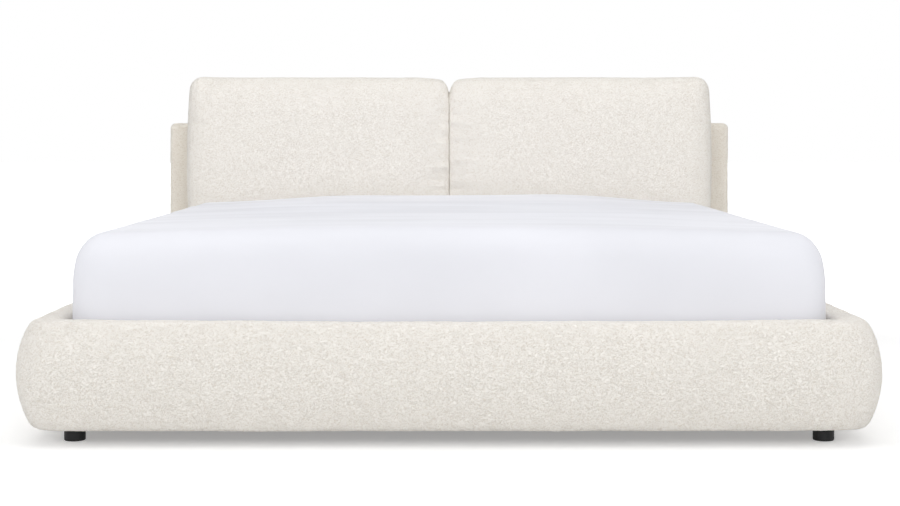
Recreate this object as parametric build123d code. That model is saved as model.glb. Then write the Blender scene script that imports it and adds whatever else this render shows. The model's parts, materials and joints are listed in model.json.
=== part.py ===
"""King-size upholstered platform bed with a low padded headboard and two loose headboard cushions.

Millimetres. +Z is up, +X is the right-hand side seen from the foot end, +Y runs from foot to head.
The origin is on the floor, under the middle of the bed's overall box.
"""

import os

from build123d import *

# Mattress and its fitted sheet
mattress_width = 1930.0
mattress_length = 2030.0
mattress_depth = 280.0
mattress_crown = 18.0
mattress_corner_radius = 90.0
mattress_top_radius = 80.0
mattress_bottom_radius = 35.0
mattress_gap = 12.0
sheet_thickness = 1.2
sheet_ease = 0.3

# Padded rails: a flat inner side and an arched outer side
floor_clearance = 38.0
rail_height = 272.0
rail_depth = 113.0
rail_arch = 38.0
rail_top_radius = 32.0
rail_bottom_radius = 22.0
rail_inner_radius = 18.0
foot_corner_radius = 14.0
foot_return_length = 180.0
rail_skin = 4.0
rail_flange = 6.0
rail_top_padding = 16.0
rail_board_thickness = 24.0

# Slatted deck
deck_height = 240.0
slat_count = 14
slat_width = 90.0
slat_thickness = 20.0
slat_edge_radius = 3.0
slat_end_gap = 6.0
deck_end_gap = 12.0
ledge_width = 38.0
ledge_height = 48.0
skin_hem_gap = 2.0
strap_width = 30.0
strap_thickness = 1.5
strap_offset = 480.0
strap_end_inset = 10.0
slat_screw_radius = 2.5
slat_screw_length = 45.0
slat_screw_head_radius = 4.5
slat_screw_head_height = 3.0
screw_clearance = 0.2

# Centre support
beam_width = 40.0
beam_height = 60.0
beam_wall = 2.5
hanger_thickness = 3.0
hanger_length = 60.0
hanger_ear_width = 24.0
leg_count = 3
leg_radius = 21.0
leg_plate_side = 70.0
leg_plate_thickness = 4.0
glide_radius = 22.0
glide_height = 14.0
glide_stud_radius = 5.0
glide_stud_length = 42.0
glide_clearance = 0.3
glide_bore_spare = 3.0

# Headboard panel
panel_end_inset = 20.0
panel_height = 816.0
panel_thickness = 90.0
panel_front_radius = 22.0
panel_rear_radius = 12.0
panel_face_padding = 12.0
panel_edge_padding = 16.0
plywood_thickness = 12.0
back_cover_thickness = 16.0
post_width = 150.0
frame_rail_height = 70.0
centre_post_width = 110.0

# Headboard cushions
cushion_rail_gap = 7.0
cushion_side_swell = 16.0
cushion_swell_rise = 1.3
cushion_height = 750.0
cushion_depth = 182.0
cushion_top_depth = 146.0
cushion_foot_depth = 160.0
cushion_crown = 16.0
cushion_end_crown = 5.0
cushion_centre_gap = 4.0
cushion_front_gap = 6.0
cushion_front_radius = 62.0
cushion_back_radius = 34.0
cushion_outer_radius = 34.0
cushion_inner_radius = 66.0
cushion_foot_radius = 26.0
cushion_front_corner_radius = 46.0
cushion_back_corner_radius = 22.0
cushion_wrap = 14.0
cushion_core_ease = 0.3
grip_thickness = 3.0
grip_clearance = 1.0
grip_width = 50.0
grip_length = 380.0
grip_spacing = 620.0
grip_drop = 70.0

# Corner blocks, feet and steel fittings
block_side = 85.0
block_height = 70.0
foot_radius = 27.0
foot_chamfer = 2.0
foot_inset = 28.5
foot_bolt_radius = 5.0
foot_bolt_grip = 45.0
foot_bolt_seat = 24.0
bolt_clearance = 0.2
plate_length = 140.0
plate_height = 50.0
plate_thickness = 4.0
bracket_length = 90.0
bracket_clearance = 2.0
bolt_radius = 4.0
bolt_head_radius = 7.0
bolt_head_height = 5.0
bolt_length = 20.0
bolt_hole_radius = 4.5
insert_radius = 6.0
insert_length = 18.0

# Heights that follow
rail_bottom = floor_clearance
rail_top = rail_bottom + rail_height
board_bottom = rail_bottom + rail_flange
board_top = rail_top - rail_top_padding
slat_bottom = deck_height - slat_thickness
ledge_bottom = slat_bottom - ledge_height
skin_hem = slat_bottom + skin_hem_gap
beam_bottom = slat_bottom - beam_height
block_top = board_bottom + block_height
fitting_bottom = block_top + (ledge_bottom - block_top - plate_height) / 2

# Widths that follow, as distances from the middle
rail_inner = mattress_width / 2 + mattress_gap
board_inner = rail_inner + rail_skin
board_outer = board_inner + rail_board_thickness
ledge_inner = board_inner - ledge_width
plate_inner = board_inner - plate_thickness
panel_half = rail_inner + rail_depth - panel_end_inset
frame_half = panel_half - panel_edge_padding
cushion_inner = cushion_centre_gap / 2
cushion_outer = rail_inner - cushion_rail_gap

# Lengths that follow, from the foot end to the head end
grip_gap = grip_thickness + grip_clearance
overall_length = (
    rail_depth
    + mattress_gap
    + mattress_length
    + cushion_front_gap
    + cushion_depth
    + grip_gap
    + panel_thickness
)
foot_front = -overall_length / 2
foot_inner = foot_front + rail_depth
foot_board_inner = foot_inner - rail_skin
foot_board_outer = foot_board_inner - rail_board_thickness
foot_ledge_rear = foot_board_inner + ledge_width
return_end = foot_inner + foot_return_length
mattress_front = foot_inner + mattress_gap
mattress_rear = mattress_front + mattress_length
cushion_back = mattress_rear + cushion_front_gap + cushion_depth
panel_front = cushion_back + grip_gap
plywood_front = panel_front + panel_face_padding
post_front = plywood_front + plywood_thickness
panel_rear = panel_front + panel_thickness
back_cover_front = panel_rear - back_cover_thickness
first_slat = foot_inner + deck_end_gap + slat_width / 2
last_slat = panel_front - deck_end_gap - slat_width / 2
slat_pitch = (last_slat - first_slat) / (slat_count - 1)
beam_front = foot_ledge_rear + hanger_thickness
beam_rear = plywood_front - hanger_thickness
leg_pitch = (beam_rear - beam_front) / (leg_count + 1)

pieces = {}


def slab(x, y, z):
    """A rectangular solid between two limits on each axis, given in either order."""
    size = [abs(limit[1] - limit[0]) for limit in (x, y, z)]
    middle = [(limit[0] + limit[1]) / 2 for limit in (x, y, z)]
    return Pos(*middle) * Box(*size)


def rod(start, direction, length, radius):
    """A round solid from a start point along a direction."""
    return extrude(Plane(origin=start, z_dir=direction) * Circle(radius), length)


def tapped(outer, inner, start, direction, length):
    """A round sleeve from a start point along a direction."""
    return rod(start, direction, length, outer) - rod(start, direction, length, inner)


def group(solids):
    """Separate solids kept together as one piece."""
    return Compound(children=[part for solid in solids for part in solid.solids()])


def mirrored(right):
    """The left-hand mirror image of a right-hand solid."""
    return mirror(right, about=Plane.YZ)


def pair(*rights):
    """Right-hand solids and their mirror images, kept together as one piece."""
    return group([*rights, *[mirrored(right) for right in rights]])


def both_sides(name, right):
    """Stores a right-hand piece and its left-hand mirror image as two pieces."""
    pieces["right_" + name] = right
    pieces["left_" + name] = mirrored(right)


def quarter_round(distance, radius):
    """How far a rolled edge falls back at a distance from the end face."""
    if distance >= radius:
        return 0.0
    return radius - (radius**2 - (radius - distance) ** 2) ** 0.5


# Padded rails


def rail_profile():
    """The rail's section, drawn outwards from its inner side, with every long edge rolled."""
    shoulder = rail_depth - rail_arch
    middle = rail_bottom + rail_height / 2
    outline = Polyline(
        (shoulder, rail_bottom), (0, rail_bottom), (0, rail_top), (shoulder, rail_top)
    )
    outline += ThreePointArc(
        (shoulder, rail_top), (rail_depth, middle), (shoulder, rail_bottom)
    )
    face = make_face(outline)
    rolls = {
        (shoulder, rail_top): rail_top_radius,
        (shoulder, rail_bottom): rail_bottom_radius,
        (0, rail_top): rail_inner_radius,
    }
    for point, roll in rolls.items():
        corner = face.vertices().sort_by_distance((*point, 0))[0]
        face = fillet(corner, roll)
    return face


def side_rail():
    """One straight side: a board on edge, and the padding that wraps it from the outside."""
    section = Plane.XZ * (Pos(rail_inner, 0) * rail_profile())
    length = (return_end, panel_front)
    board = slab((board_inner, board_outer), length, (board_bottom, board_top))
    bare_inside = slab((rail_inner, board_outer), length, (board_bottom, skin_hem))
    padding = extrude(Pos(0, return_end, 0) * section, panel_front - return_end, (0, 1, 0))
    padding = padding - bare_inside - board
    both_sides("rail_board", board - insert_holes())
    both_sides("rail_padding", padding)


def footboard():
    """The foot end: one padded sweep round both corners, over a front board and two returns."""
    path = FilletPolyline(
        (rail_inner, return_end),
        (rail_inner, foot_inner),
        (-rail_inner, foot_inner),
        (-rail_inner, return_end),
        radius=foot_corner_radius,
    )
    start = Plane(origin=(rail_inner, return_end, 0), x_dir=(1, 0, 0), z_dir=(0, -1, 0))
    padding = sweep(start * rail_profile(), path)
    height = (board_bottom, board_top)
    front = slab((-board_outer, board_outer), (foot_board_outer, foot_board_inner), height)
    side = slab((board_inner, board_outer), (foot_board_inner, return_end), height)
    bare_inside = slab(
        (-board_outer, board_outer), (foot_board_outer, return_end), (board_bottom, skin_hem)
    )
    padding = padding - bare_inside - front - side - mirrored(side)
    pieces["footboard_padding"] = padding
    pieces["footboard_board"] = front
    both_sides("foot_return_board", side - insert_holes())


# Steel fittings: flat joint plates at the foot returns, angle brackets at the headboard


def side_bolt_points():
    """Where bolts go through a fitting into the right-hand boards, on the fitting's face."""
    height = fitting_bottom + plate_height / 2
    quarter = plate_length / 4
    along = [return_end + step * quarter for step in (-1.4, -0.6, 0.6, 1.4)]
    along += [panel_front - share * bracket_length for share in (0.75, 0.35)]
    return [(plate_inner, y, height) for y in along]


def head_bolt_points():
    """Where bolts go through the right-hand bracket into the headboard post."""
    height = fitting_bottom + plate_height / 2
    across = [plate_inner - share * bracket_length for share in (0.75, 0.35)]
    return [(x, plywood_front - plate_thickness, height) for x in across]


def insert_holes():
    """Blind holes for the threaded inserts of the right-hand boards and post."""
    holes = [
        rod((board_inner, y, z), (1, 0, 0), insert_length, insert_radius)
        for _, y, z in side_bolt_points()
    ]
    holes += [
        rod((x, plywood_front, z), (0, 1, 0), insert_length, insert_radius)
        for x, _, z in head_bolt_points()
    ]
    return Part() + holes


def fitting_holes():
    """Clearance holes of the right-hand plate and bracket."""
    holes = [
        rod(point, (1, 0, 0), plate_thickness, bolt_hole_radius) for point in side_bolt_points()
    ]
    holes += [
        rod(point, (0, 1, 0), plate_thickness, bolt_hole_radius) for point in head_bolt_points()
    ]
    return Part() + holes


def fittings():
    """Joint plates, headboard brackets, bolts and inserts."""
    height = (fitting_bottom, fitting_bottom + plate_height)
    middle = (return_end - plate_length / 2, return_end + plate_length / 2)
    plate = slab((plate_inner, board_inner), middle, height)
    plate = fillet(plate.edges().filter_by(Axis.X), plate_thickness)
    pieces["rail_joint_plates"] = pair(plate - fitting_holes())

    rail_leg = slab((plate_inner, board_inner), (panel_front - bracket_length, plywood_front), height)
    head_leg = slab(
        (plate_inner - bracket_length, board_inner),
        (plywood_front - plate_thickness, plywood_front),
        height,
    )
    pieces["headboard_brackets"] = pair(rail_leg + head_leg - fitting_holes())

    bolts, inserts = [], []
    places = [(point, (1, 0, 0)) for point in side_bolt_points()]
    places += [(point, (0, 1, 0)) for point in head_bolt_points()]
    for point, direction in places:
        start, aim = Vector(*point), Vector(*direction)
        head = rod(start - aim * bolt_head_height, aim, bolt_head_height, bolt_head_radius)
        bolts.append(head + rod(start, aim, bolt_length, bolt_radius))
        bore = bolt_radius + bolt_clearance
        inserts.append(
            tapped(
                insert_radius - bolt_clearance,
                bore,
                start + aim * plate_thickness,
                aim,
                insert_length,
            )
        )
    pieces["frame_bolts"] = pair(*bolts)
    pieces["threaded_inserts"] = pair(*inserts)


# Corner blocks and feet


def corners():
    """A timber block inside each corner, with a round foot screwed up into it."""
    block_reach = (board_inner - block_side, board_inner)
    foot_x = rail_inner - foot_inset
    ends = {
        "front": (foot_board_inner, foot_board_inner + block_side, foot_inner + foot_inset),
        "rear": (panel_front - block_side, panel_front, panel_front - foot_inset),
    }
    blocks, bolts = [], []
    for end, (near, far, foot_y) in ends.items():
        seat = (foot_x, foot_y, board_bottom)
        up, down = (0, 0, 1), (0, 0, -1)
        bore = foot_bolt_radius + bolt_clearance
        block = slab(block_reach, (near, far), (board_bottom, block_top))
        block -= rod(seat, up, foot_bolt_grip, bore)
        foot = rod((foot_x, foot_y, 0), up, board_bottom, foot_radius)
        foot = chamfer(foot.edges().group_by(Axis.Z)[0], foot_chamfer)
        foot -= rod(seat, down, foot_bolt_seat, bore)
        bolts.append(
            rod(
                (foot_x, foot_y, board_bottom - foot_bolt_seat),
                up,
                foot_bolt_seat + foot_bolt_grip,
                foot_bolt_radius,
            )
        )
        blocks.append(block)
        both_sides(end + "_foot", foot)
    pieces["corner_blocks"] = pair(*blocks)
    pieces["foot_bolts"] = pair(*bolts)


# Slatted deck


def slat_places():
    """Each slat's number, the middle of its width and where its screws go in."""
    for number in range(slat_count):
        middle = first_slat + number * slat_pitch
        screw_y = foot_ledge_rear - ledge_width / 3 if number == 0 else middle
        yield number + 1, middle, screw_y


def screw_points(screw_y):
    """A slat's two screw places, on its top face."""
    reach = ledge_inner + ledge_width / 2
    return [(side * reach, screw_y, deck_height) for side in (-1, 1)]


def deck():
    """Ledges along three sides, slats screwed to them, and the straps that tie the slats."""
    down = (0, 0, -1)
    pilot = slat_screw_radius + screw_clearance
    screws, holes = [], []
    half_slat = rail_inner - slat_end_gap
    for number, middle, screw_y in slat_places():
        slat = slab(
            (-half_slat, half_slat),
            (middle - slat_width / 2, middle + slat_width / 2),
            (slat_bottom, deck_height),
        )
        slat = fillet(slat.edges().filter_by(Axis.X), slat_edge_radius)
        for point in screw_points(screw_y):
            sink = rod(point, down, slat_screw_head_height, slat_screw_head_radius + screw_clearance)
            hole = rod(point, down, slat_screw_length, pilot)
            head = rod(point, down, slat_screw_head_height, slat_screw_head_radius)
            screws.append(head + rod(point, down, slat_screw_length, slat_screw_radius))
            holes.append(hole)
            slat -= sink + hole
        pieces[f"slat_{number:02d}"] = slat
    pieces["slat_screws"] = group(screws)

    height = (ledge_bottom, slat_bottom)
    side = slab((ledge_inner, board_inner), (return_end, panel_front), height)
    across = slab((-board_inner, board_inner), (foot_board_inner, foot_ledge_rear), height)
    drilled = Part() + holes
    pieces["right_slat_ledge"] = side - drilled
    pieces["left_slat_ledge"] = mirrored(side) - drilled
    pieces["foot_slat_ledge"] = across - drilled

    strap_run = (foot_ledge_rear, last_slat + slat_width / 2 - strap_end_inset)
    strap = slab(
        (strap_offset - strap_width / 2, strap_offset + strap_width / 2),
        strap_run,
        (slat_bottom - strap_thickness, slat_bottom),
    )
    pieces["slat_straps"] = pair(strap)


# Centre support


def hanger(wall, towards):
    """A folded steel saddle on a wall face, open towards the beam that it carries."""
    half = beam_width / 2
    inside = wall + towards * hanger_thickness
    reach = wall + towards * hanger_length
    height = (beam_bottom - hanger_thickness, slat_bottom)
    ear = half + hanger_thickness + hanger_ear_width
    back = slab((-ear, ear), (wall, inside), height)
    tray = slab((-half - hanger_thickness, half + hanger_thickness), (wall, reach), height)
    return back + (tray - slab((-half, half), (inside, reach), (beam_bottom, slat_bottom)))


def centre_support():
    """A steel tube down the middle in two hangers, on legs with levelling glides."""
    run = (beam_front, beam_rear)
    half = beam_width / 2
    tube = slab((-half, half), run, (beam_bottom, slat_bottom))
    bore = slab(
        (-half + beam_wall, half - beam_wall),
        run,
        (beam_bottom + beam_wall, slat_bottom - beam_wall),
    )
    pieces["centre_beam"] = tube - bore
    pieces["beam_hangers"] = group([hanger(foot_ledge_rear, 1), hanger(plywood_front, -1)])

    up = (0, 0, 1)
    leg_bottom = glide_height + glide_clearance
    plate_half = leg_plate_side / 2
    for number in range(1, leg_count + 1):
        y = beam_front + number * leg_pitch
        plate = slab(
            (-plate_half, plate_half),
            (y - plate_half, y + plate_half),
            (beam_bottom - leg_plate_thickness, beam_bottom),
        )
        column = rod((0, y, leg_bottom), up, beam_bottom - leg_plate_thickness - leg_bottom, leg_radius)
        socket = rod(
            (0, y, leg_bottom),
            up,
            glide_stud_length + glide_bore_spare,
            glide_stud_radius + glide_clearance,
        )
        pieces[f"centre_leg_{number}"] = plate + column - socket
        glide = rod((0, y, 0), up, glide_height, glide_radius)
        glide = chamfer(glide.edges(), foot_chamfer)
        stud = rod((0, y, glide_height), up, glide_stud_length, glide_stud_radius)
        pieces[f"levelling_glide_{number}"] = glide + stud


# Headboard panel


def headboard_panel():
    """A padded shell over a timber frame with a plywood face, closed by a cover at the back."""
    shell = slab((-panel_half, panel_half), (panel_front, panel_rear), (rail_bottom, panel_height))
    upright = shell.edges().filter_by(Axis.Z)
    top = shell.edges().group_by(Axis.Z)[-1]
    shell = fillet((upright + top).filter_by_position(Axis.Y, panel_front, panel_front), panel_front_radius)
    rear = shell.faces().sort_by(Axis.Y)[-1].edges()
    shell = fillet(rear, panel_rear_radius)
    inside_top = panel_height - panel_edge_padding
    height = (board_bottom, inside_top)
    cavity = slab((-frame_half, frame_half), (plywood_front, panel_rear), height)

    fitting_height = (fitting_bottom - bracket_clearance, fitting_bottom + plate_height + bracket_clearance)
    notch_reach = (plate_inner - bracket_length - bracket_clearance, board_inner + bracket_clearance)
    notch = slab(notch_reach, (panel_front, plywood_front), fitting_height)
    ear = beam_width / 2 + hanger_thickness + hanger_ear_width + bracket_clearance
    hanger_notch = slab(
        (-ear, ear),
        (panel_front, plywood_front),
        (beam_bottom - hanger_thickness - bracket_clearance, slat_bottom + bracket_clearance),
    )
    shell = shell - cavity - notch - mirrored(notch) - hanger_notch
    pieces["headboard_padding"] = shell

    holes = insert_holes()
    drilled = holes + mirrored(holes)
    plywood = slab((-frame_half, frame_half), (plywood_front, post_front), height)
    pieces["headboard_plywood"] = plywood - drilled
    deep = (post_front, back_cover_front)
    post = slab((frame_half - post_width, frame_half), deep, height)
    both_sides("headboard_post", post - holes)
    half_centre = centre_post_width / 2
    pieces["headboard_centre_post"] = slab((-half_centre, half_centre), deep, height)
    span = (half_centre, frame_half - post_width)
    top_height = (inside_top - frame_rail_height, inside_top)
    bottom_height = (board_bottom, board_bottom + frame_rail_height)
    pieces["headboard_top_rails"] = pair(slab(span, deep, top_height))
    pieces["headboard_bottom_rails"] = pair(slab(span, deep, bottom_height))
    pieces["headboard_back_cover"] = slab(
        (-frame_half, frame_half), (back_cover_front, panel_rear), height
    )


# Headboard cushions


def cushion_section(level, inset):
    """One level section of the right-hand cushion, pulled in on every side by an inset."""
    height = cushion_height - 2 * inset
    above, below = level, height - level
    foot = quarter_round(above, cushion_foot_radius)
    share = level / height
    fullness = 1 - (2 * share - 1) ** 2
    edge_depth = cushion_foot_depth + (cushion_top_depth - cushion_foot_depth) * share
    bulge = (cushion_depth - (cushion_foot_depth + cushion_top_depth) / 2) * fullness
    front = edge_depth + bulge - foot - quarter_round(below, cushion_front_radius) - inset
    back = foot + quarter_round(below, cushion_back_radius) + inset
    inner = cushion_inner + foot + quarter_round(below, cushion_inner_radius) + inset
    rise = share**cushion_swell_rise
    swell = cushion_side_swell * 4 * rise * (1 - rise)
    outer = cushion_outer + swell - foot - quarter_round(below, cushion_outer_radius) - inset

    crown = cushion_end_crown + (cushion_crown - cushion_end_crown) * fullness
    middle = (inner + outer) / 2
    outline = Polyline(
        (outer, -front + crown), (outer, -back), (inner, -back), (inner, -front + crown)
    )
    outline += ThreePointArc((inner, -front + crown), (middle, -front), (outer, -front + crown))
    face = make_face(outline)
    room = (front - crown - back) / 2.2
    corners_at = {
        (outer, -front + crown): min(cushion_front_corner_radius, room),
        (inner, -front + crown): min(cushion_front_corner_radius, room),
        (outer, -back): min(cushion_back_corner_radius, room),
        (inner, -back): min(cushion_back_corner_radius, room),
    }
    for point, radius in corners_at.items():
        corner = face.vertices().sort_by_distance((*point, 0))[0]
        face = fillet(corner, radius)
    return Pos(0, cushion_back, deck_height + inset + level) * face


def cushion_form(inset):
    """A stuffed form with a crowned front, rolled edges and shoulders that draw in at the top."""
    height = cushion_height - 2 * inset
    levels = [cushion_foot_radius * share for share in (0, 0.13, 0.5, 1, 2, 4)]
    levels += [height * share for share in (0.3, 0.5, 0.65)]
    levels += [height - cushion_inner_radius * share for share in (2.2, 1.5, 1, 0.5, 0.2, 0.05, 0)]
    return loft([cushion_section(level, inset) for level in levels])


def cushions():
    """Two loose cushions, each a cover with a foam core, gripped by tapes on the panel."""
    cover = cushion_form(0) - cushion_form(cushion_wrap)
    both_sides("cushion_cover", cover)
    both_sides("cushion_core", cushion_form(cushion_wrap + cushion_core_ease))
    middle = (cushion_inner + cushion_outer) / 2
    grip_top = panel_height - grip_drop
    tapes = []
    for side in (-1, 1):
        x = middle + side * grip_spacing / 2
        across = (x - grip_width / 2, x + grip_width / 2)
        upright = (grip_top - grip_length, grip_top)
        tapes.append(slab(across, (panel_front - grip_thickness, panel_front), upright))
    pieces["grip_tapes"] = pair(*tapes)


# Mattress


def mattress_form(grow):
    """A deep rounded block with a crowned top, grown on its top and sides."""
    half = mattress_width / 2 + grow
    edge = deck_height + mattress_depth + grow
    outline = Polyline((half, edge), (half, deck_height), (-half, deck_height), (-half, edge))
    outline += ThreePointArc((-half, edge), (0, edge + mattress_crown), (half, edge))
    section = Plane.XZ * make_face(outline)
    length = mattress_length + 2 * grow
    form = extrude(Pos(0, mattress_front - grow, 0) * section, length, (0, 1, 0))
    form = fillet(form.edges().filter_by(Axis.Z), mattress_corner_radius + grow)
    bottom = form.faces().sort_by(Axis.Z)[0].edges()
    form = fillet(bottom, mattress_bottom_radius)
    top = form.faces().sort_by(Axis.Z)[-1].edges()
    return fillet(top, mattress_top_radius + grow)


def mattress():
    """The mattress, and a fitted sheet drawn over its top and sides."""
    hem = deck_height + mattress_bottom_radius
    reach = mattress_width + mattress_length
    below = slab((-reach, reach), (-reach, reach), (deck_height - mattress_depth, hem))
    pieces["mattress"] = mattress_form(0)
    sheet = mattress_form(sheet_ease + sheet_thickness) - mattress_form(sheet_ease)
    pieces["fitted_sheet"] = sheet - below


side_rail()
footboard()
fittings()
corners()
deck()
centre_support()
headboard_panel()
cushions()
mattress()

os.makedirs("parts", exist_ok=True)
for name, piece in pieces.items():
    piece.label = name
    export_step(piece, f"parts/{name}.step")
print(f"{len(pieces)} pieces, {2 * (rail_inner + rail_depth):.0f} wide, {overall_length:.0f} long")
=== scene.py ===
import json
import math

import bmesh
import bpy
import numpy as np
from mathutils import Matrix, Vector, noise
from mathutils.kdtree import KDTree


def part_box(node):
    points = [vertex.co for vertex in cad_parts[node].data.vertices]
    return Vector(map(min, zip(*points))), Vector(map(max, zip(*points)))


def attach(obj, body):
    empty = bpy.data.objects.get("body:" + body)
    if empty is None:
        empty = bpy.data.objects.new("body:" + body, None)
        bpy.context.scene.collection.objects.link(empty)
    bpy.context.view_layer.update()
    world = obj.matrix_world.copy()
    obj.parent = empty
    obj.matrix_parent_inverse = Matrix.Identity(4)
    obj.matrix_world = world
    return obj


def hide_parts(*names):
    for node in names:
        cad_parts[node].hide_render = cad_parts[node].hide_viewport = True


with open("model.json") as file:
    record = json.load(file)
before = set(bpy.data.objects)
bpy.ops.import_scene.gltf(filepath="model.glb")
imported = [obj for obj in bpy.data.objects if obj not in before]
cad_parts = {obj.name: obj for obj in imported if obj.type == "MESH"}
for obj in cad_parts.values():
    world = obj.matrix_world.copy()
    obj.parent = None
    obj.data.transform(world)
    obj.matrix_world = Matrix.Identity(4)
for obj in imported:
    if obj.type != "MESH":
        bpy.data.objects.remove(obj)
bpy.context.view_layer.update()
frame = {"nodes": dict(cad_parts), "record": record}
scene = bpy.context.scene
scene.view_settings.view_transform = "Standard"


# small helpers for meshes

def meshPiece(name, points, faces):
    mesh = bpy.data.meshes.new(name)
    mesh.from_pydata([tuple(p) for p in points], [], [tuple(f) for f in faces])
    mesh.validate()
    piece = bpy.data.objects.new(name, mesh)
    scene.collection.objects.link(piece)
    mesh.shade_smooth()
    return piece


def getPoints(piece):
    co = np.empty(len(piece.data.vertices) * 3)
    piece.data.vertices.foreach_get("co", co)
    return co.reshape(-1, 3)


def setPoints(piece, co):
    piece.data.vertices.foreach_set("co", np.asarray(co, dtype=float).ravel())
    piece.data.update()


def finishMesh(piece, merge=0.0002):
    bm = bmesh.new()
    bm.from_mesh(piece.data)
    bmesh.ops.remove_doubles(bm, verts=bm.verts, dist=merge)
    bmesh.ops.recalc_face_normals(bm, faces=bm.faces)
    bm.to_mesh(piece.data)
    bm.free()
    piece.data.shade_smooth()
    return piece


def curvePiece(name, points, cyclic=False):
    curve = bpy.data.curves.new(name, "CURVE")
    curve.dimensions = "3D"
    spline = curve.splines.new("POLY")
    spline.points.add(len(points) - 1)
    for target, point in zip(spline.points, points):
        target.co = (*point, 1)
    spline.use_cyclic_u = cyclic
    piece = bpy.data.objects.new(name, curve)
    scene.collection.objects.link(piece)
    return piece


def remove(*pieces):
    for piece in pieces:
        bpy.data.objects.remove(piece)


def applyModifier(piece, modifier):
    depsgraph = bpy.context.evaluated_depsgraph_get()
    mesh = bpy.data.meshes.new_from_object(piece.evaluated_get(depsgraph))
    piece.modifiers.remove(modifier)
    piece.data = mesh


def setMaterial(piece, material):
    piece.data.materials.clear()
    piece.data.materials.append(material)


def smoothStep(value, low, high):
    t = np.clip((value - low) / (high - low), 0, 1)
    return t * t * (3 - 2 * t)


# small helpers for node trees

def addNode(tree, kind, **settings):
    node = tree.nodes.new(kind)
    for name, value in settings.items():
        setattr(node, name, value)
    return node


def fill(tree, node, **inputs):
    for name, value in inputs.items():
        numbered = name[0] == "i" and name[1:].isdigit()    # i0, i1: by place in the list
        socket = node.inputs[int(name[1:]) if numbered else name]
        if isinstance(value, bpy.types.NodeSocket):
            tree.links.new(value, socket)
        else:
            socket.default_value = value
    return node


def mathNode(tree, operation, a, b=0.0):
    return fill(tree, addNode(tree, "ShaderNodeMath", operation=operation), i0=a, i1=b).outputs[0]


def mixTones(tree, *tones):
    parts = [mathNode(tree, "MULTIPLY", tone, share) for tone, share in tones]
    return mathNode(tree, "ADD", *parts)


def newMaterial(name, colour, roughness):
    material = bpy.data.materials.new(name)
    material.use_nodes = True
    tree = material.node_tree
    shader = tree.nodes["Principled BSDF"]
    shader.inputs["Base Color"].default_value = (*colour, 1)
    shader.inputs["Roughness"].default_value = roughness
    return material, tree, shader


def objectPlace(tree, scale=(1, 1, 1)):
    place = addNode(tree, "ShaderNodeTexCoord").outputs["Object"]
    return fill(tree, addNode(tree, "ShaderNodeMapping"), Vector=place, Scale=scale).outputs[0]


def noiseNode(tree, place, scale, detail=2.0, roughness=0.5):
    node = addNode(tree, "ShaderNodeTexNoise")
    return fill(tree, node, Vector=place, Scale=scale, Detail=detail, Roughness=roughness)


def rampNode(tree, value, *stops):
    node = addNode(tree, "ShaderNodeValToRGB")
    points = node.color_ramp.elements
    while len(points) < len(stops):
        points.new(0.5)
    for point, (place, colour) in zip(points, stops):
        point.position = place
        point.color = (*colour, 1)
    tree.links.new(value, node.inputs[0])
    return node.outputs[0]


def bumpNode(tree, shader, height, strength, distance):
    bump = addNode(tree, "ShaderNodeBump")
    fill(tree, bump, Height=height, Strength=strength, Distance=distance)
    tree.links.new(bump.outputs[0], shader.inputs["Normal"])


def twoTone(tree, shader, tone, stops, low, high):
    tree.links.new(rampNode(tree, tone, (stops[0], low), (stops[1], high)), shader.inputs["Base Color"])


def setShader(shader, **values):
    sockets = dict(shine="Specular IOR Level", sheen="Sheen Weight", sheenSpread="Sheen Roughness",
                   metallic="Metallic")
    for name, value in values.items():
        shader.inputs[sockets[name]].default_value = value


# materials

boucleLook = dict(
    # the crevice colour is painted shade in the hollows between the loops and the pale colour a painted
    # highlight on the loop crests; body is the cloth's own colour
    pale=(0.990, 0.957, 0.900), body=(0.952, 0.905, 0.834), crevice=(0.838, 0.776, 0.690),
    stops=(0.15, 0.55, 1.0), roughness=0.95, sheen=0.15, sheenSpread=0.6, shine=0.15,
    loopsPerMetre=178, curlsPerMetre=284, lie=(0.75, 0.75, 1.12), yarn=7.0, twist=0.8, curlShare=0.85,
    fluffScale=3, fluffShare=0.15, cloudPerMetre=5.0, cloudShare=0.12, bump=0.80, depth=0.0017,
)


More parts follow.
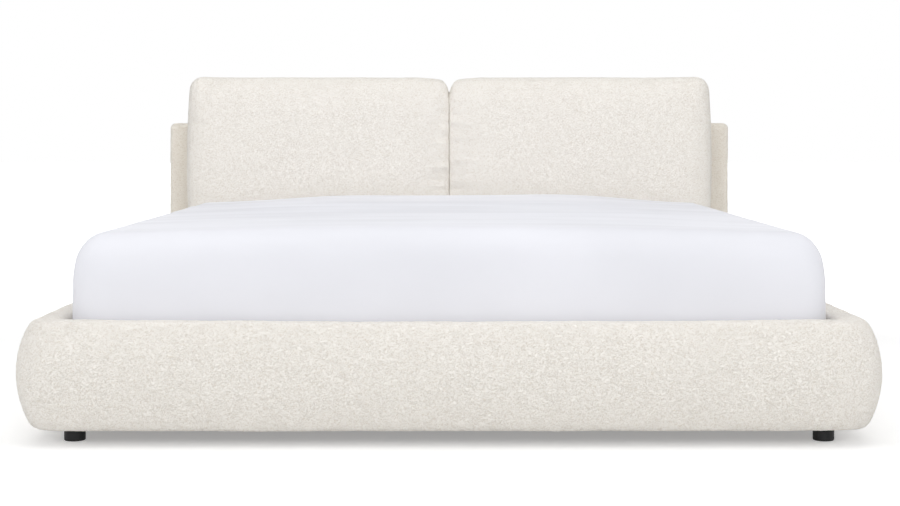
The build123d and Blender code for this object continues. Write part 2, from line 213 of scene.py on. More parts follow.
def boucleMaterial(name, paintedBounceTint=(1, 1, 1), look=boucleLook):
    material, tree, shader = newMaterial(name, look["body"], look["roughness"])
    place = objectPlace(tree)
    lying = objectPlace(tree, look["lie"])    # loops lie a little longer sideways
    crests = []
    for perMetre in (look["loopsPerMetre"], look["curlsPerMetre"]):
        yarn = noiseNode(tree, lying, perMetre, 1)
        yarn.inputs["Distortion"].default_value = look["twist"]
        away = mathNode(tree, "ABSOLUTE", mathNode(tree, "SUBTRACT", yarn.outputs["Fac"], 0.5))
        crest = mathNode(tree, "MULTIPLY_ADD", away, -look["yarn"])
        crest.node.inputs[2].default_value = 1.0
        crests.append(mathNode(tree, "MAXIMUM", crest, 0.0))
    fluff = noiseNode(tree, place, look["curlsPerMetre"] * look["fluffScale"], 2, 0.6).outputs["Fac"]
    curls = mathNode(tree, "MULTIPLY", crests[1], look["curlShare"])
    height = mixTones(tree, (mathNode(tree, "MAXIMUM", crests[0], curls), 1.0), (fluff, look["fluffShare"]))
    cloud = noiseNode(tree, place, look["cloudPerMetre"], 2).outputs["Fac"]
    tone = mixTones(tree, (height, 1.0), (cloud, look["cloudShare"]))
    # the colour follows loop height: painted shade low in the hollows, painted highlight on the crests, plus
    # random cloud tone
    stops = []
    for position, key in zip(look["stops"], ("crevice", "body", "pale")):
        # the tint given as the second argument multiplies every colour stop: a painted warm bounce tint for
        # shaded copies of the cloth
        stops.append((position, tuple(c * w for c, w in zip(look[key], paintedBounceTint))))
    tree.links.new(rampNode(tree, tone, *stops), shader.inputs["Base Color"])
    setShader(shader, sheen=look["sheen"], sheenSpread=look["sheenSpread"], shine=look["shine"])
    bumpNode(tree, shader, height, look["bump"], look["depth"])
    return material


wovenLook = dict(dark=0.82, roughness=0.85, bandUnit=20, wobble=0.6, weaveShare=0.35, cloudPerMetre=6.0,
                 cloudShare=0.4, stops=(0.15, 0.7), shine=0.2, sheen=0.15, depth=0.0008)


def wovenMaterial(name, colour, threadsPerMetre, bump, look=wovenLook):
    material, tree, shader = newMaterial(name, colour, look["roughness"])
    place = objectPlace(tree)
    threads = []
    for direction in "XZY":
        wave = addNode(tree, "ShaderNodeTexWave", bands_direction=direction, wave_type="BANDS")
        fill(tree, wave, Vector=place, Scale=threadsPerMetre / look["bandUnit"], Distortion=look["wobble"],
             Detail=1.0)
        threads.append(wave.outputs["Fac"])
    weave = mathNode(tree, "ADD", mathNode(tree, "MULTIPLY", threads[0], threads[1]), threads[2])
    cloud = noiseNode(tree, place, look["cloudPerMetre"], 3).outputs["Fac"]
    tone = mixTones(tree, (weave, look["weaveShare"]), (cloud, look["cloudShare"]))
    twoTone(tree, shader, tone, look["stops"], tuple(c * look["dark"] for c in colour), colour)
    setShader(shader, shine=look["shine"], sheen=look["sheen"])
    bumpNode(tree, shader, weave, bump, look["depth"])
    return material


# dark and pale set painted shade and painted highlight on the sheet's creases and ripple bands
sheetLook = dict(colour=(0.836, 0.842, 0.892), dark=0.960, pale=1.03, stops=(0.40, 0.60), roughness=0.75,
                 weavePerMetre=1400, weaveRise=0.02, creaseLie=(1.0, 8.0, 1.4), creaseShare=0.65,
                 cloudPerMetre=2.4, cloudShare=0.35, shine=0.25, sheen=0.1, bump=0.25, depth=0.006)


def sheetMaterial(look=sheetLook):
    colour = look["colour"]
    material, tree, shader = newMaterial("sheetCotton", colour, look["roughness"])
    place = objectPlace(tree)
    weave = noiseNode(tree, place, look["weavePerMetre"], 1).outputs["Fac"]
    crease = noiseNode(tree, objectPlace(tree, look["creaseLie"]), 1.0, 3, 0.45).outputs["Fac"]
    cloud = noiseNode(tree, place, look["cloudPerMetre"], 2).outputs["Fac"]
    # the colour darkens and lightens with the crease noise as painted shade and highlight on the folds, mixed
    # with random cloud tone
    tone = mixTones(tree, (cloud, look["cloudShare"]), (crease, look["creaseShare"]))
    pale = tuple(min(1, c * look["pale"]) for c in colour)
    twoTone(tree, shader, tone, look["stops"], tuple(c * look["dark"] for c in colour), pale)
    setShader(shader, shine=look["shine"], sheen=look["sheen"])
    height = mixTones(tree, (crease, 1.0), (weave, look["weaveRise"]))
    bumpNode(tree, shader, height, look["bump"], look["depth"])
    return material


woodLook = dict(along=0.9, across=26, rings=1.3, ringShare=0.75, fibres=11.0, fibreShare=0.3,
                stops=(0.32, 0.62), roughness=0.62, shine=0.3, bump=0.25, depth=0.0006)


def woodMaterial(name, colour, grain, along, look=woodLook):
    material, tree, shader = newMaterial(name, colour, look["roughness"])
    place = objectPlace(tree, [look["along"] if axis == along else look["across"] for axis in "XYZ"])
    rings = noiseNode(tree, place, look["rings"], 5, 0.55).outputs["Fac"]
    fibre = noiseNode(tree, place, look["fibres"], 3, 0.6).outputs["Fac"]
    tone = mixTones(tree, (rings, look["ringShare"]), (fibre, look["fibreShare"]))
    twoTone(tree, shader, tone, look["stops"], grain, colour)
    setShader(shader, shine=look["shine"])
    bumpNode(tree, shader, tone, look["bump"], look["depth"])
    return material


plyLook = dict(pale=(0.70, 0.56, 0.38), dark=(0.52, 0.38, 0.23), stops=(0.35, 0.6), roughness=0.6,
               grainLie=(1.2, 1.2, 34), grains=1.6, grainShare=0.7, fleckLie=(22, 22, 160), fleckShare=0.3,
               bump=0.15, depth=0.0005)


def plyMaterial(look=plyLook):
    material, tree, shader = newMaterial("plywood", look["pale"], look["roughness"])
    grain = noiseNode(tree, objectPlace(tree, look["grainLie"]), look["grains"], 5, 0.6).outputs["Fac"]
    fleck = noiseNode(tree, objectPlace(tree, look["fleckLie"]), 1.0, 2).outputs["Fac"]
    tone = mixTones(tree, (grain, look["grainShare"]), (fleck, look["fleckShare"]))
    twoTone(tree, shader, tone, look["stops"], look["dark"], look["pale"])
    bumpNode(tree, shader, tone, look["bump"], look["depth"])
    return material


coatedLook = dict(cloudPerMetre=18.0, pale=1.25, paleLift=0.004, stops=(0.35, 0.75), shine=0.35, depth=0.0004)


def coatedMaterial(name, colour, roughness, grainsPerMetre, bump, metallic=0.0, look=coatedLook):
    material, tree, shader = newMaterial(name, colour, roughness)
    place = objectPlace(tree)
    grain = noiseNode(tree, place, grainsPerMetre, 2).outputs["Fac"]
    cloud = noiseNode(tree, place, look["cloudPerMetre"], 3).outputs["Fac"]
    pale = tuple(c * look["pale"] + look["paleLift"] for c in colour)
    twoTone(tree, shader, cloud, look["stops"], colour, pale)
    setShader(shader, metallic=metallic, shine=look["shine"])
    bumpNode(tree, shader, grain, bump, look["depth"])
    return material


boucle = boucleMaterial("boucle")
# a warmer copy of the same bouclé for the headboard panel: painted warm bounce light in the panel's shade
# beside the cushions
panelBoucle = boucleMaterial("panelBoucle", (1.0, 0.983, 0.950))
sheetCotton = sheetMaterial()
ticking = wovenMaterial("mattressTicking", (0.80, 0.80, 0.81), 700, 0.35)
backCloth = wovenMaterial("backCloth", (0.74, 0.70, 0.63), 900, 0.4)
webbing = wovenMaterial("webbing", (0.70, 0.67, 0.60), 600, 0.6)
foam = wovenMaterial("cushionFoam", (0.80, 0.77, 0.62), 400, 0.3)
pineAcross = woodMaterial("pineAcross", (0.72, 0.55, 0.34), (0.55, 0.37, 0.20), "X")
pineAlong = woodMaterial("pineAlong", (0.70, 0.53, 0.33), (0.52, 0.35, 0.19), "Y")
pineUpright = woodMaterial("pineUpright", (0.70, 0.53, 0.33), (0.52, 0.35, 0.19), "Z")
plywood = plyMaterial()
blackSteel = coatedMaterial("blackSteel", (0.030, 0.030, 0.032), 0.48, 900, 0.25)
zincSteel = coatedMaterial("zincSteel", (0.60, 0.61, 0.62), 0.35, 700, 0.1, 1.0)
blackPlastic = coatedMaterial("blackPlastic", (0.008, 0.008, 0.009), 0.55, 1200, 0.2)
thread = wovenMaterial("thread", (0.78, 0.74, 0.66), 2500, 0.3)
print("materials made")


def dressFrame():
    looks = {
        "boucle": boucle, "back_cloth": backCloth, "sheet_cotton": sheetCotton, "webbing": webbing,
        "mattress_ticking": ticking, "cushion_foam": foam, "plywood": plywood, "pine": pineAlong,
        "black_steel": blackSteel, "zinc_steel": zincSteel, "black_plastic": blackPlastic,
    }
    for row in frame["record"]["subparts"]:
        node = frame["nodes"][row["node"]]
        material = looks[row["material_slot"]]
        low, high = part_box(row["node"])
        size = high - low
        if material is pineAlong and row["node"] != "corner_blocks":    # grain runs along the piece
            material = (pineAcross, pineAlong, pineUpright)[max(range(3), key=lambda axis: size[axis])]
        for place in node.material_slots:
            place.material = material


dressFrame()


# geometry node trees

def newTree(name, inputs):
    tree = bpy.data.node_groups.new(name, "GeometryNodeTree")
    sockets = tree.interface
    sockets.new_socket("Geometry", in_out="INPUT", socket_type="NodeSocketGeometry")
    for label, kind in inputs:
        sockets.new_socket(label, in_out="INPUT", socket_type="NodeSocket" + kind)
    sockets.new_socket("Geometry", in_out="OUTPUT", socket_type="NodeSocketGeometry")
    return tree, addNode(tree, "NodeGroupInput").outputs, addNode(tree, "NodeGroupOutput")


def closeTree(tree, end, geometry, material):
    real = fill(tree, addNode(tree, "GeometryNodeRealizeInstances"), Geometry=geometry)
    dressed = fill(tree, addNode(tree, "GeometryNodeSetMaterial"), Geometry=real.outputs[0], Material=material)
    tree.links.new(dressed.outputs[0], end.inputs[0])
    return tree


def grow(piece, tree, **values):
    modifier = piece.modifiers.new("grow", "NODES")
    modifier.node_group = tree
    for item in tree.interface.items_tree:
        key = item.name.replace(" ", "")
        if item.in_out == "INPUT" and key in values:
            modifier[item.identifier] = values[key]
    applyModifier(piece, modifier)
    piece.data.name = piece.name
    return piece


def sweepTree():
    tree, given, end = newTree("padSweep", [
        ("Path", "Object"), ("Section", "Object"), ("Step", "Float"), ("End Roll", "Float"),
        ("End Shrink", "Float"), ("Material", "Material"),
    ])
    runs = []
    for label in ("Path", "Section"):
        source = fill(tree, addNode(tree, "GeometryNodeObjectInfo"), Object=given[label])
        run = addNode(tree, "GeometryNodeResampleCurve", mode="LENGTH")
        runs.append(fill(tree, run, Curve=source.outputs["Geometry"], Length=given["Step"]).outputs[0])
    along = addNode(tree, "GeometryNodeSplineParameter").outputs["Length"]
    whole = addNode(tree, "GeometryNodeSplineLength").outputs[0]
    nearest = mathNode(tree, "MINIMUM", along, mathNode(tree, "SUBTRACT", whole, along))
    ease = addNode(tree, "ShaderNodeMapRange", interpolation_type="SMOOTHERSTEP")
    low = mathNode(tree, "SUBTRACT", 1.0, given["End Shrink"])
    fill(tree, ease, Value=nearest, i1=0.0, i2=given["End Roll"], i3=low, i4=1.0)
    sweep = addNode(tree, "GeometryNodeCurveToMesh")
    fill(tree, sweep, Curve=runs[0], i1=runs[1])
    tree.links.new(ease.outputs[0], sweep.inputs["Scale"])
    sweep.inputs["Fill Caps"].default_value = True
    smooth = fill(tree, addNode(tree, "GeometryNodeSetShadeSmooth"), Geometry=sweep.outputs[0])
    return closeTree(tree, end, smooth.outputs[0], given["Material"])


def pileTree():
    tree, given, end = newTree("looped pile", [
        ("Nub Size", "Float"), ("Nub Depth", "Float"), ("Swell Size", "Float"),
        ("Swell Depth", "Float"), ("Seed", "Float"), ("Material", "Material"),
    ])
    place = addNode(tree, "GeometryNodeInputPosition").outputs[0]
    heights = []
    for size, depth in (("Nub Size", "Nub Depth"), ("Swell Size", "Swell Depth")):
        cloud = addNode(tree, "ShaderNodeTexNoise", noise_dimensions="4D")
        scale = mathNode(tree, "DIVIDE", 1.0, given[size])
        fill(tree, cloud, Vector=place, W=given["Seed"], Scale=scale, Detail=1.5)
        centred = mathNode(tree, "SUBTRACT", cloud.outputs[0], 0.5)
        heights.append(mathNode(tree, "MULTIPLY", centred, given[depth]))
    lift = mathNode(tree, "ADD", *heights)
    offset = addNode(tree, "ShaderNodeVectorMath", operation="SCALE")
    fill(tree, offset, i0=addNode(tree, "GeometryNodeInputNormal").outputs[0], Scale=lift)
    moved = addNode(tree, "GeometryNodeSetPosition")
    fill(tree, moved, Geometry=given["Geometry"], Offset=offset.outputs[0])
    return closeTree(tree, end, moved.outputs[0], given["Material"])


def stitchTree():
    tree, given, end = newTree("stitch row", [
        ("Path", "Object"), ("Pitch", "Float"), ("Length", "Float"), ("Radius", "Float"),
        ("Material", "Material"),
    ])
    source = fill(tree, addNode(tree, "GeometryNodeObjectInfo"), Object=given["Path"])
    run = addNode(tree, "GeometryNodeResampleCurve", mode="LENGTH")
    fill(tree, run, Curve=source.outputs["Geometry"], Length=given["Pitch"])
    grain = addNode(tree, "GeometryNodeMeshUVSphere")
    fill(tree, grain, Segments=6, Rings=5, Radius=1.0)
    tangent = addNode(tree, "GeometryNodeInputTangent").outputs[0]
    turn = addNode(tree, "FunctionNodeAlignRotationToVector", axis="Z")
    fill(tree, turn, Vector=tangent)
    shape = addNode(tree, "ShaderNodeCombineXYZ")
    half = mathNode(tree, "MULTIPLY", given["Length"], 0.5)
    fill(tree, shape, X=given["Radius"], Y=given["Radius"], Z=half)
    row = addNode(tree, "GeometryNodeInstanceOnPoints")
    fill(tree, row, Points=run.outputs[0], Instance=grain.outputs[0], Rotation=turn.outputs[0],
         Scale=shape.outputs[0])
    return closeTree(tree, end, row.outputs[0], given["Material"])


padSweep, loopedPile, stitchRow = sweepTree(), pileTree(), stitchTree()


def sweptPiece(name, path, section, shape, material):
    pathCurve = curvePiece(name + "Path", path)
    sectionCurve = curvePiece(name + "Section", section, True)
    piece = meshPiece(name, [], [])
    grow(piece, padSweep, Path=pathCurve, Section=sectionCurve, Step=shape["step"],
         EndRoll=shape["endRoll"], EndShrink=shape["endShrink"], Material=material)
    remove(pathCurve, sectionCurve)
    return finishMesh(piece)


stitch = dict(pitch=0.007, length=0.0045, radius=0.0006, lift=0.0004)


def stitches(name, path, body, shape=stitch, cyclic=False, material=thread, slot="boucle"):
    pathCurve = curvePiece(name + "Path", path, cyclic)
    piece = meshPiece(name, [], [])
    grow(piece, stitchRow, Path=pathCurve, Pitch=shape["pitch"], Length=shape["length"],
         Radius=shape["radius"], Material=material)
    remove(pathCurve)
    piece.data.shade_smooth()
    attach(piece, body)
    return piece


def layOn(piece, points):
    laid = []
    for point in points:
        place, normal = piece.closest_point_on_mesh(Vector(point))[1:3]
        laid.append(place + normal * stitch["lift"])
    return laid


def evenly(start, stop, step):
    count = max(2, int((Vector(stop) - Vector(start)).length / step))
    return [Vector(start).lerp(Vector(stop), k / count) for k in range(count + 1)]


staple = dict(pitch=0.048, length=0.012, radius=0.0007, pathStep=0.012)


def staples(name, pad, start, stop):
    path = layOn(pad, evenly(start, stop, staple["pathStep"]))
    stitches(name, path, "frame", staple, material=zincSteel, slot="zinc_steel")


pile = dict(nubSize=0.012, nubDepth=0.0029, swellSize=0.16, swellDepth=0.006)


def addPile(piece, seed, look=pile, material=boucle):
    grow(piece, loopedPile, NubSize=look["nubSize"], NubDepth=look["nubDepth"],
         SwellSize=look["swellSize"], SwellDepth=look["swellDepth"], Seed=seed, Material=material)
    piece.data.shade_smooth()
    return piece


def softBox(name, low, high, radius, step):
    low, high, radius = (np.array(v, float) for v in (low, high, radius))
    middle, half = (low + high) / 2, (high - low) / 2
    points, faces = [], []
    for axis in range(3):
        u, v = (axis + 1) % 3, (axis + 2) % 3
        counts = [max(4, int(round(2 * half[k] / step))) for k in (u, v)]
        across, up = (np.linspace(-half[k], half[k], n + 1) for k, n in zip((u, v), counts))
        for side in (-1, 1):
            start = len(points)
            for b in up:
                for a in across:
                    point = np.zeros(3)
                    point[axis], point[u], point[v] = side * half[axis], a, b
                    points.append(point)
            width = counts[0] + 1
            for j in range(counts[1]):
                for i in range(counts[0]):
                    corner = start + j * width + i
                    faces.append((corner, corner + 1, corner + width + 1, corner + width))
    points = np.array(points)
    core = np.clip(points, -(half - radius), half - radius)
    outward = (points - core) / radius
    outward /= np.linalg.norm(outward, axis=1)[:, None]
    piece = meshPiece(name, middle + core + outward * radius, faces)
    return finishMesh(piece)


# padded rails: the section is drawn outwards (u) and up (z) from the inner bottom corner

railShape = dict(arch=0.038, arcSteps=41, lowTangent=4, highTangent=-6, topRoll=0.032, bottomRoll=0.022,
                 innerRoll=0.018, hem=0.222, flange=0.006, slot=0.014, step=0.0065, endRoll=0.010,
                 endShrink=0.035, topSag=0.005, bendEase=0.014, bendSteps=15, stapleRise=0.009,
                 stapleEnd=0.06, fillShare=0.9)


def arcPoints(centre, radius, start, stop, count):
    turns = np.radians(np.linspace(start, stop, count))
    return [(centre[0] + radius * math.cos(t), centre[1] + radius * math.sin(t)) for t in turns]


def cornerRoll(before, corner, after, radius, count=8):
    corner = np.array(corner, float)
    a = np.array(before) - corner
    b = np.array(after) - corner
    a, b = a / np.linalg.norm(a), b / np.linalg.norm(b)
    half = math.acos(float(np.clip(a @ b, -1, 1))) / 2
    reach = radius / math.tan(half)
    start, stop = corner + a * reach, corner + b * reach
    points = []
    for t in np.linspace(0, 1, count):
        points.append(tuple((1 - t) ** 2 * start + 2 * t * (1 - t) * corner + t * t * stop))
    return points


def railSection(shape=railShape):
    low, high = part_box("right_rail_padding")
    depth, bottom, top = high.x - low.x, low.z, high.z
    shoulder = depth - shape["arch"]
    middle, tall = (bottom + top) / 2, top - bottom
    arcRadius = ((tall / 2) ** 2 + shape["arch"] ** 2) / (2 * shape["arch"])
    reach = math.degrees(math.asin(tall / 2 / arcRadius))
    bulge = arcPoints((depth - arcRadius, middle), arcRadius, -reach, reach, shape["arcSteps"])
    bottomRoll = cornerRoll((0, bottom), (shoulder, bottom), bulge[shape["lowTangent"]],
                            shape["bottomRoll"])
    topRoll = cornerRoll(bulge[shape["highTangent"]], (shoulder, top), (0, top), shape["topRoll"])
    innerRoll = cornerRoll((shoulder, top), (0, top), (0, bottom), shape["innerRoll"])
    hem, slot, flange = shape["hem"], shape["slot"], bottom + shape["flange"]
    inside = [(0, hem), (slot, hem), (slot, flange), (0, flange), (0, bottom)]
    arc = [p for p in bulge if bottomRoll[-1][1] < p[1] < topRoll[0][1]]
    return bottomRoll + arc + topRoll + innerRoll + inside


def railMiddle():
    low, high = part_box("right_rail_padding")
    return (high.x - low.x) / 2, (low.z + high.z) / 2


def centredSection():
    halfDepth, level = railMiddle()
    return [(u - halfDepth, level - z, 0) for u, z in railSection()]


def dressPad(piece, node, seed, material=boucle):
    addPile(piece, seed, material=material)
    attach(piece, "frame")
    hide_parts(node)


def sideRail(side, seed, shape=railShape):
    node = side + "_rail_padding"
    low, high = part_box(node)
    x, level = (low.x + high.x) / 2, railMiddle()[1]
    ends = (low.y, high.y) if side == "right" else (high.y, low.y)
    path = [(x, ends[0], level), (x, ends[1], level)]
    piece = sweptPiece(side + "RailPad", path, centredSection(), shape, boucle)
    dressPad(piece, node, seed)
    inner = low.x if side == "right" else high.x
    z, end = shape["hem"] + shape["stapleRise"], shape["stapleEnd"]
    staples(side + "RailStaples", piece, (inner, low.y + end, z), (inner, high.y - end, z))


def footboardPad(shape=railShape):
    low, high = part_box("footboard_padding")
    halfDepth, level = railMiddle()
    inner = -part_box("left_rail_padding")[1].x
    x, y = high.x - halfDepth, low.y + halfDepth
    bend, steps = halfDepth + shape["bendEase"], shape["bendSteps"]
    line = [(-x, high.y)]
    line += arcPoints((-x + bend, y + bend), bend, 180, 270, steps)
    line += arcPoints((x - bend, y + bend), bend, 270, 360, steps)
    line += [(x, high.y)]
    path = [(px, py, level) for px, py in line]
    piece = sweptPiece("footboardPad", path, centredSection(), shape, boucle)
    co = getPoints(piece)
    share = np.clip(co[:, 0] / inner, -1, 1)
    co[:, 2] -= shape["topSag"] * (1 - share ** 2) * smoothStep(co[:, 2], level, high.z)
    setPoints(piece, co)
    dressPad(piece, "footboard_padding", 3.0)
    y, z = low.y + 2 * halfDepth, shape["hem"] + shape["stapleRise"]
    reach = inner - shape["stapleEnd"]
    staples("footboardStaples", piece, (-reach, y, z), (reach, y, z))


sideRail("left", 1.0)
sideRail("right", 2.0)
footboardPad()
print("rails padded")


# headboard panel and its back

panelShape = dict(roll=(0.020, 0.022, 0.020), step=0.008, recess=0.006, recessInset=0.002, backBand=0.004,
                  fillShare=0.95)
backShape = dict(thick=0.010, roll=(0.006, 0.0045, 0.006), step=0.012, domeRise=0.0025, domePower=8,
                 backBand=0.001, stitchInset=0.009, stitchSink=0.0012)


def headboardPanel():
    low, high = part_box("headboard_padding")
    pad = softBox("headboardPad", low, high, panelShape["roll"], panelShape["step"])
    coverLow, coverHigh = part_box("headboard_back_cover")
    co = getPoints(pad)
    inset = panelShape["recessInset"]
    inside = (np.abs(co[:, 0]) < coverHigh.x - inset) & (co[:, 2] > coverLow.z + inset)
    inside &= (co[:, 2] < coverHigh.z - inset) & (co[:, 1] > high.y - panelShape["backBand"])
    co[inside, 1] -= panelShape["recess"]    # a bed for the back cover
    setPoints(pad, co)
    dressPad(pad, "headboard_padding", 4.0, panelBoucle)


def headboardBack():
    low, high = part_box("headboard_back_cover")
    low.y = high.y - backShape["thick"]
    cover = softBox("headboardBack", low, high, backShape["roll"], backShape["step"])
    middle, halfTall = (low.z + high.z) / 2, (high.z - low.z) / 2
    co = getPoints(cover)
    across = 1 - (co[:, 0] / high.x) ** backShape["domePower"]
    upright = 1 - ((co[:, 2] - middle) / halfTall) ** backShape["domePower"]
    sink = backShape["domeRise"] * (1 - across * upright)
    co[:, 1] -= np.where(co[:, 1] > high.y - backShape["backBand"], sink, 0)
    setPoints(cover, co)
    setMaterial(cover, backCloth)
    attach(cover, "frame")
    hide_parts("headboard_back_cover")
    x, y = high.x - backShape["stitchInset"], high.y - backShape["stitchSink"]
    z = halfTall - backShape["stitchInset"]
    corners = [(-x, -z), (x, -z), (x, z), (-x, z)]
    stitches("backStitches", [(a, y, middle + b) for a, b in corners], "frame", cyclic=True)


headboardPanel()
headboardBack()
print("headboard padded")


# mattress with its fitted sheet

bedding = dict(crown=0.018, sideRoll=(0.080, 0.080, 0.110), footRoll=0.035, tuck=0.090)
stuffing = dict(step=0.02, lift=0.004, ease=0.004, fillShare=0.95)


def crownTop(co, low, high, rise):
    x = co[:, 0] / max(abs(low.x), abs(high.x))
    middle = (low.z + high.z - rise) / 2
    return rise * (1 - x ** 2) * smoothStep(co[:, 2], middle, high.z - rise)


def tightenFoot(co, low):
    roll, small = bedding["sideRoll"][2], bedding["footRoll"]
    above = co[:, 2] - low.z
    stretched = small + (above - roll) * (2 * roll - small) / roll
    squeezed = np.where(above < roll, above / roll * small, stretched)
    co[:, 2] = np.where(above < 2 * roll, low.z + squeezed, co[:, 2])


def mattressPiece():
    low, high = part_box("mattress")
    low.z += stuffing["lift"]
    high.z -= bedding["crown"]
    piece = softBox("mattressBlock", low, high, bedding["sideRoll"], stuffing["step"])
    co = getPoints(piece)
    tightenFoot(co, low)
    co[:, 2] += crownTop(co, low, high + Vector((0, 0, bedding["crown"])), bedding["crown"])
    centre = (np.array(low) + np.array(high)) / 2
    setPoints(piece, centre + (co - centre) * (1 - stuffing["ease"] / np.array(high - low)))
    setMaterial(piece, ticking)
    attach(piece, "mattress")
    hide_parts("mattress")


def foldNoise(co, scale, seed):
    places = co * scale + (0, 0, seed)
    return np.array([noise.noise(Vector(place)) for place in places])


linen = dict(
    step=0.014, topBand=0.10, edgeBand=0.09, tuckRoll=0.2, underBand=0.004,
    foldScale=(0.7, 7.5, 3.0), foldRise=0.0030, foldBase=0.35, foldFrom=1.3, foldTo=0.15,
    drapeScale=(3.2, 3.2, 0.9), drapeSeed=5.0, drapeRise=0.0022,
    hump=0.008, humpPlace=0.40, humpWidth=0.20, middleHump=0.35, middleWidth=0.3, humpFrom=0.9, humpTo=0.1,
    ripplePitch=0.21, rippleRise=0.0100, rippleSharp=1.4, rippleFrom=0.15, rippleTo=0.9,
    rippleSides=(0.5, 0.88),
    drifts=[((0.9, 0.3, 0.0), 11.0, 0.10), ((0.5, 1.1, 0.0), 17.0, 0.12)],
    patchScale=(1.1, 1.6, 0.0), patchSeed=23.0, patchBase=0.35,
    gatherPitch=0.034, gatherDepth=0.003, gatherTop=0.06, hemTop=0.006, hemRise=0.0012, hemWave=0.0006,
)


def openUnder(piece, low, high):
    centre, reach = (low + high) / 2, (high - low) / 2
    edge = bedding["tuck"] + bedding["sideRoll"][0] * linen["tuckRoll"]
    bm = bmesh.new()
    bm.from_mesh(piece.data)
    under = []
    for face in bm.faces:
        away = face.calc_center_median() - centre
        inside = abs(away.x) < reach.x - edge and abs(away.y) < reach.y - edge
        if inside and away.z < linen["underBand"] - reach.z:
            under.append(face)
    bmesh.ops.delete(bm, geom=under, context="FACES")
    bm.to_mesh(piece.data)
    bm.free()


def layFolds(co, top, front, rear):
    topShare = smoothStep(co[:, 2], top - linen["topBand"], top)
    rearShare = smoothStep(co[:, 1], rear - linen["foldFrom"], rear - linen["foldTo"])
    folds = np.clip(foldNoise(co, linen["foldScale"], 0.0), 0, 1) * linen["foldRise"]
    folds *= (linen["foldBase"] + rearShare) * topShare
    x = np.abs(co[:, 0])
    humps = np.exp(-((x - linen["humpPlace"]) / linen["humpWidth"]) ** 2)
    humps += linen["middleHump"] * np.exp(-(x / linen["middleWidth"]) ** 2)
    humps *= linen["hump"] * topShare * smoothStep(co[:, 1], rear - linen["humpFrom"], rear - linen["humpTo"])
    drift = sum(foldNoise(co, scale, seed) * reach for scale, seed, reach in linen["drifts"])
    turn = (co[:, 1] + drift) * 2 * math.pi / linen["ripplePitch"]
    ripple = linen["rippleRise"] * (0.5 + 0.5 * np.sin(turn)) ** linen["rippleSharp"]
    patch = np.clip(foldNoise(co, linen["patchScale"], linen["patchSeed"]) + 0.5, 0, 1)
    ripple *= linen["patchBase"] + (1 - linen["patchBase"]) * patch
    ripple *= topShare * smoothStep(co[:, 1], front + linen["rippleFrom"], front + linen["rippleTo"])
    ripple *= 1 - smoothStep(x, *linen["rippleSides"])
    drape = 0.5 + foldNoise(co, linen["drapeScale"], linen["drapeSeed"])
    drape *= linen["drapeRise"] * (1 - topShare)
    co[:, 2] += ripple + folds + humps    # folds only rise, so the mattress stays under the sheet
    return drape


def gatherHem(co, low, centre, outward):
    along = np.where(np.abs(co[:, 0]) > np.abs(co[:, 1] - centre.y), co[:, 1], co[:, 0])
    wave = np.sin(along * 2 * math.pi / linen["gatherPitch"])
    lowShare = 1 - smoothStep(co[:, 2], low.z + linen["underBand"], low.z + linen["gatherTop"])
    co -= outward * ((0.5 + 0.5 * wave) * linen["gatherDepth"] * lowShare)[:, None]
    hem = co[:, 2] < low.z + linen["hemTop"]
    lift = linen["hemRise"] + linen["hemWave"] * np.sign(wave[hem])
    co[hem, 2] = np.maximum(co[hem, 2], low.z) + lift


def sheetPiece():
    low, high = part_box("mattress")
    top = high.z - bedding["crown"]
    piece = softBox("fittedSheet", low, (high.x, high.y, top), bedding["sideRoll"], linen["step"])
    openUnder(piece, low, high)
    co = getPoints(piece)
    tightenFoot(co, low)
    co[:, 2] += crownTop(co, low, high, bedding["crown"])
    drape = layFolds(co, top, low.y, high.y)
    centre, edge = (low + high) / 2, (high - low) / 2 - Vector([linen["edgeBand"]] * 3)
    x, y = co[:, 0], co[:, 1] - centre.y
    outX, outY = np.sign(x) * (np.abs(x) > edge.x), np.sign(y) * (np.abs(y) > edge.y)
    outward = np.stack([outX, outY, np.zeros(len(co))], axis=1)
    co += outward * drape[:, None]
    gatherHem(co, low, centre, outward)
    setPoints(piece, co)
    setMaterial(piece, sheetCotton)
    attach(piece, "mattress")
    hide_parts("fitted_sheet")


mattressPiece()
sheetPiece()
print("mattress made up")


# headboard cushions: a warped soft block, swollen by cloth pressure

cushionShape = dict(
    roll=(0.044, 0.060, 0.044), step=0.011, shrink=0.004, footDepth=0.160, topDepth=0.146, fillShare=0.8,
    swell=0.016, swellRise=1.3, swellFrom=0.2, innerSlack=0.008, slackFrom=(0.80, 0.70),
    press=0.018, pressReach=0.16, topCrown=0.003, crownBand=0.3,
    cornerDrop=(0.034, 0.010, 0.008, 0.060), dropFrom=0.28, dropTo=0.02, faceBand=(0.07, 0.13),
    wrinkle=0.0095, wrinkleReach=0.075, wrinkleScale=(4.0, 2.0, 36.0), wrinkleSeed=dict(left=2.0, right=9.0),
    wrinkleLow=(0.22, 0.34), wrinkleHigh=(0.16, 0.05),
    slack=0.004, slackScale=(2.6, 1.0, 3.4), slackSeed=4.0,
    contact=(0.0022, 0.11, 0.0003, 0.0014),    # wave, pitch, gap and shift where the two meet
)
outerSign = dict(left=-1, right=1)


